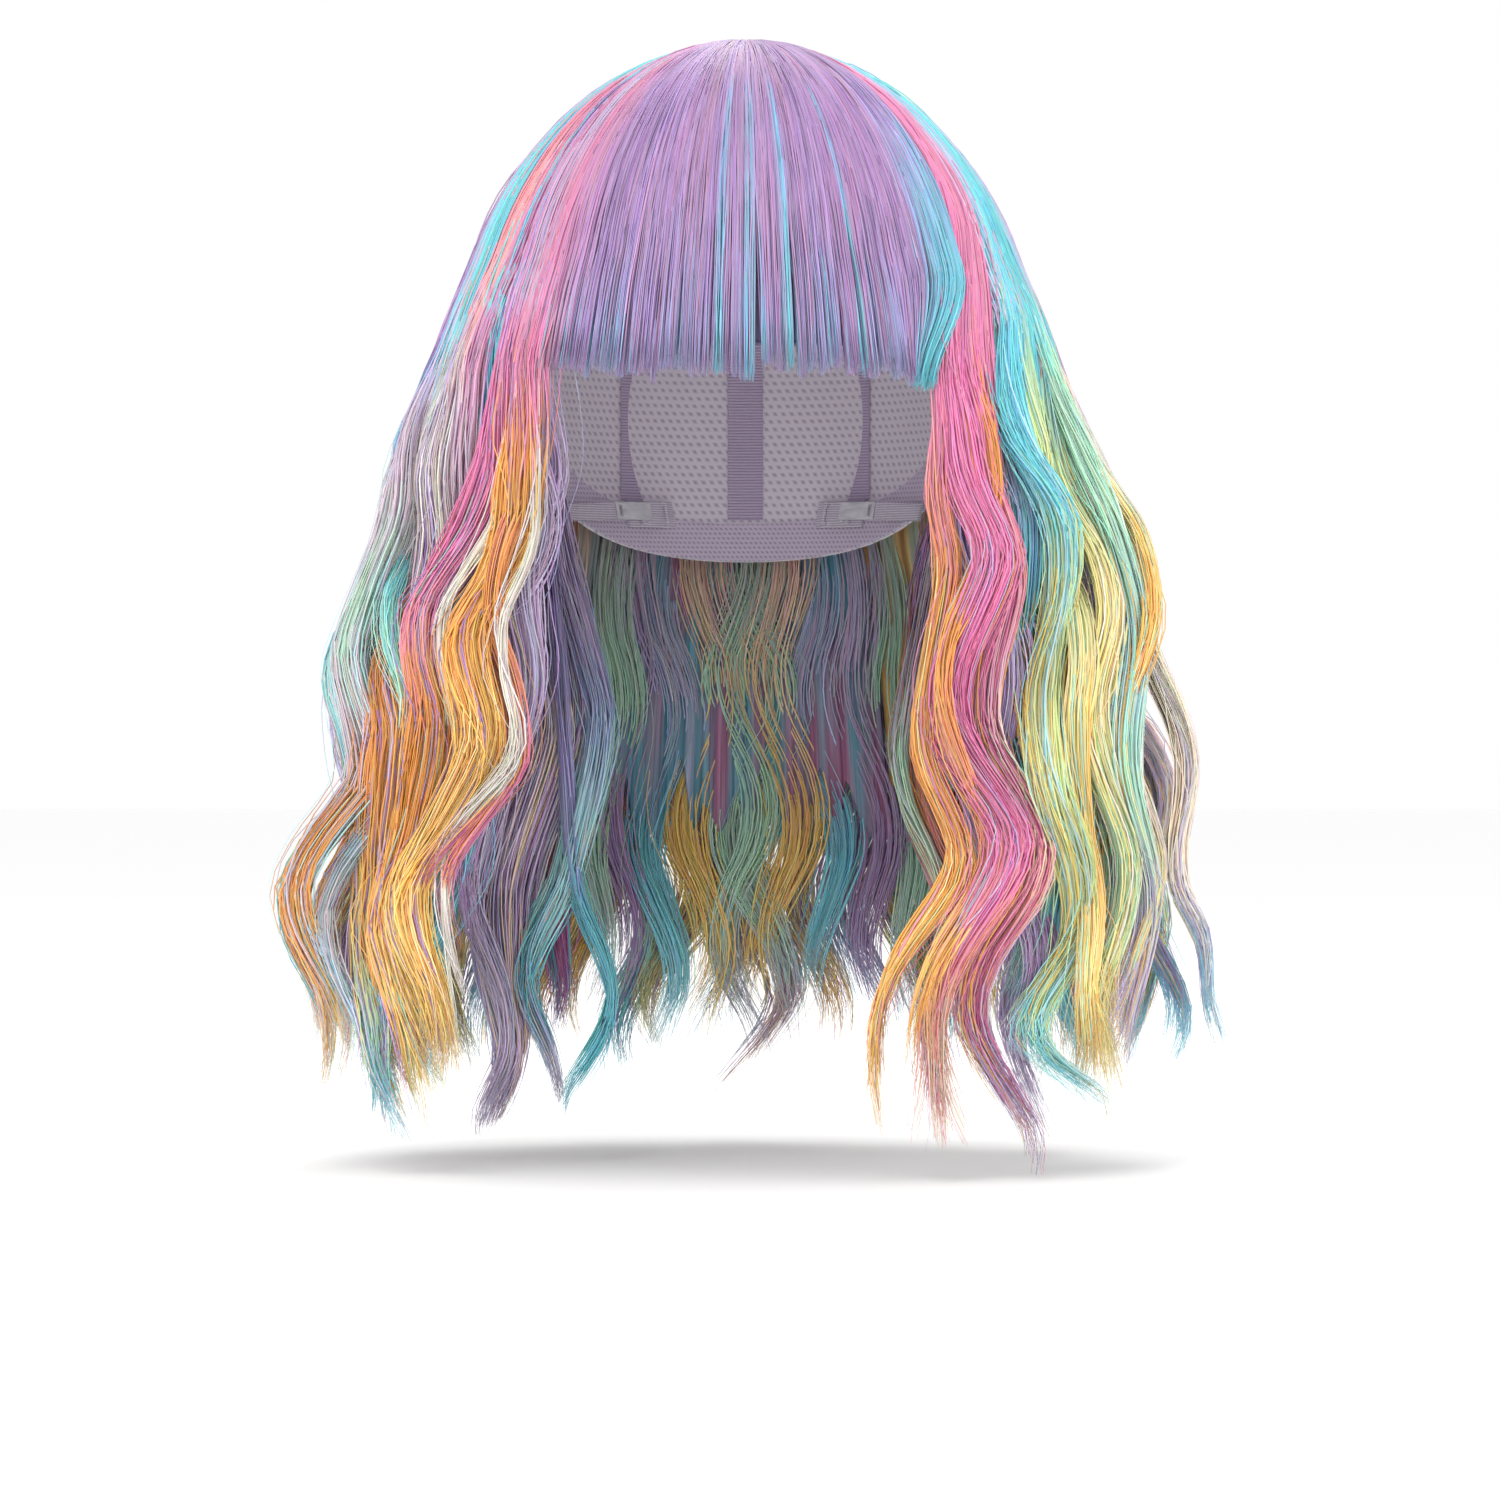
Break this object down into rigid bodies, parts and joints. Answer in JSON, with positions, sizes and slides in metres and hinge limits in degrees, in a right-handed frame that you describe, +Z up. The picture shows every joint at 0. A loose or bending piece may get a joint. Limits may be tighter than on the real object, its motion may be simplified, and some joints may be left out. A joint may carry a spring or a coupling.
{
  "type": "costume wig",
  "caption": "Shoulder-length wavy costume wig with a straight full fringe, on an adjustable stretch cap worn over the head.",
  "frame": {"origin": "centre of the head opening, level with the ear tabs, where the wearer's head sits", "axes": "+Z up through the crown, -Y towards the face, +X to the right of someone facing the wig"},
  "size_m": [0.3, 0.2625, 0.357],
  "materials": {
    "net_fabric": "sheer stretch net",
    "band_fabric": "soft woven stretch band",
    "ribbon_fabric": "woven ribbon",
    "track_fabric": "stitched weft seam",
    "scalp_fabric": "smooth skin-tone lining",
    "elastic": "ribbed elastic",
    "clear_plastic": "translucent moulded plastic",
    "hair_lavender": "synthetic fibre, satin",
    "hair_pink": "synthetic fibre, satin",
    "hair_aqua": "synthetic fibre, satin",
    "hair_gold": "synthetic fibre, satin",
    "hair_mint": "synthetic fibre, satin",
    "hair_lilac": "synthetic fibre, satin",
    "hair_purple": "synthetic fibre, satin"
  },
  "bodies": {
    "cap": {"adjuster_strap_left": "elastic", "adjuster_strap_right": "elastic", "cap_net_left": "net_fabric", "cap_net_right": "net_fabric", "corner_lock_front_left": "hair_aqua", "corner_lock_front_right": "hair_mint", "corner_lock_rear_left": "hair_purple", "corner_lock_rear_right": "hair_lilac", "cross_ribbon": "ribbon_fabric", "crown_hair_back_left": "hair_aqua", "crown_hair_back_right": "hair_lilac", "crown_hair_front": "hair_lavender", "crown_hair_side_left": "hair_pink", "crown_hair_side_right": "hair_pink", "crown_ribbon": "ribbon_fabric", "ear_binding_left": "band_fabric", "ear_binding_right": "band_fabric", "fringe_track": "track_fabric", "front_band": "band_fabric", "nape_band": "band_fabric", "nape_cover_hair_left": "hair_lilac", "nape_cover_hair_right": "hair_lilac", "nape_loops_left": "band_fabric", "nape_loops_right": "band_fabric", "scalp_patch": "scalp_fabric", "side_ribbon_left": "ribbon_fabric", "side_ribbon_right": "ribbon_fabric", "temple_hair_left": "hair_pink", "temple_hair_right": "hair_pink", "under_lock_left": "hair_purple", "under_lock_right": "hair_purple", "upper_back_hair_left": "hair_aqua", "upper_back_hair_right": "hair_mint", "weft_track_1": "track_fabric", "weft_track_2": "track_fabric", "weft_track_3": "track_fabric", "weft_track_4": "track_fabric", "weft_track_5": "track_fabric", "weft_track_6": "track_fabric"},
    "fringe": {"fringe_left": "hair_lavender", "fringe_centre": "hair_lavender", "fringe_right": "hair_lavender"},
    "side_hair_left": {"front_lock_left": "hair_gold", "cheek_lock_left": "hair_lilac", "side_lock_left": "hair_aqua", "rear_side_lock_left": "hair_lilac"},
    "side_hair_right": {"front_lock_right": "hair_pink", "cheek_lock_right": "hair_mint", "side_lock_right": "hair_gold", "rear_side_lock_right": "hair_lilac"},
    "back_fall": {"back_lock_outer_left": "hair_mint", "back_lock_outer_right": "hair_lilac", "back_lock_inner_left": "hair_lilac", "back_lock_inner_right": "hair_gold"},
    "ear_tab_left": {"ear_tab_left": "band_fabric", "ear_stay_left": "clear_plastic"},
    "ear_tab_right": {"ear_tab_right": "band_fabric", "ear_stay_right": "clear_plastic"},
    "adjuster_left": {"adjuster_hook_left": "clear_plastic"},
    "adjuster_right": {"adjuster_hook_right": "clear_plastic"}
  },
  "joints": [
    {"name": "fringe_lift", "type": "hinge", "parent": "cap", "child": "fringe", "pos_m": [0, -0.076, 0.072], "axis": [-1, 0, 0], "range_deg": [0, 25]},
    {"name": "side_hair_left_swing", "type": "hinge", "parent": "cap", "child": "side_hair_left", "pos_m": [-0.09, 0, 0.01], "axis": [0, 1, 0], "range_deg": [0, 20]},
    {"name": "side_hair_right_swing", "type": "hinge", "parent": "cap", "child": "side_hair_right", "pos_m": [0.09, 0, 0.01], "axis": [0, -1, 0], "range_deg": [0, 20]},
    {"name": "back_fall_swing", "type": "hinge", "parent": "cap", "child": "back_fall", "pos_m": [0, 0.114, -0.028], "axis": [1, 0, 0], "range_deg": [0, 20]},
    {"name": "ear_tab_left_fold", "type": "hinge", "parent": "cap", "child": "ear_tab_left", "pos_m": [-0.0747, -0.031, 0.0013], "axis": [0.2461, -0.9693, 0], "range_deg": [0, 25], "stiffness_Nm_per_rad": 0.00005},
    {"name": "ear_tab_right_fold", "type": "hinge", "parent": "cap", "child": "ear_tab_right", "pos_m": [0.0747, -0.031, 0.0013], "axis": [0.2461, 0.9693, 0], "range_deg": [0, 25], "stiffness_Nm_per_rad": 0.00005},
    {"name": "adjuster_left_slide", "type": "slide", "parent": "cap", "child": "adjuster_left", "axis": [0.8034, 0.5954, 0], "range_m": [0, 0.005], "stiffness_N_per_m": 2, "deforming": ["adjuster_strap_left"]},
    {"name": "adjuster_right_slide", "type": "slide", "parent": "cap", "child": "adjuster_right", "axis": [-0.8034, 0.5954, 0], "range_m": [0, 0.005], "stiffness_N_per_m": 2, "deforming": ["adjuster_strap_right"]}
  ]
}
